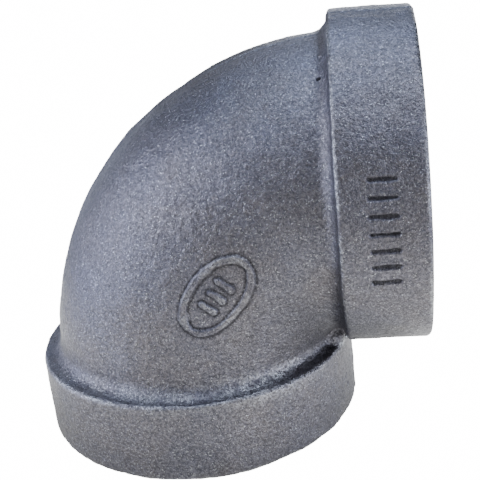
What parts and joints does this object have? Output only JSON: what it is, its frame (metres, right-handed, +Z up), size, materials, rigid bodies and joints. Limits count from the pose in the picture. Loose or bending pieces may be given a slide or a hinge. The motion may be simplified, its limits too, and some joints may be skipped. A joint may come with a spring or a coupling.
{
  "type": "pipe elbow",
  "caption": "Right-angle threaded pipe elbow in black malleable iron, with a plain round band at each female port and a short, tight bend between them.",
  "frame": {"origin": "centre of the lower port's face, on that port's axis", "axes": "+Z up the lower port's axis, +X out of the side port, y = 0 the parting plane that holds both port axes"},
  "size_m": [0.1065, 0.086, 0.1065],
  "materials": {
    "cast_skin": "as cast in sand: fine grain, dark blue-grey, lightly oiled, worn bright along the band edges",
    "machined_iron": "turned and tapped: fine tool marks on the port faces and the threads"
  },
  "bodies": {
    "root": {"lower_port": "cast_skin", "bend": "cast_skin", "side_port": "cast_skin"}
  },
  "joints": []
}
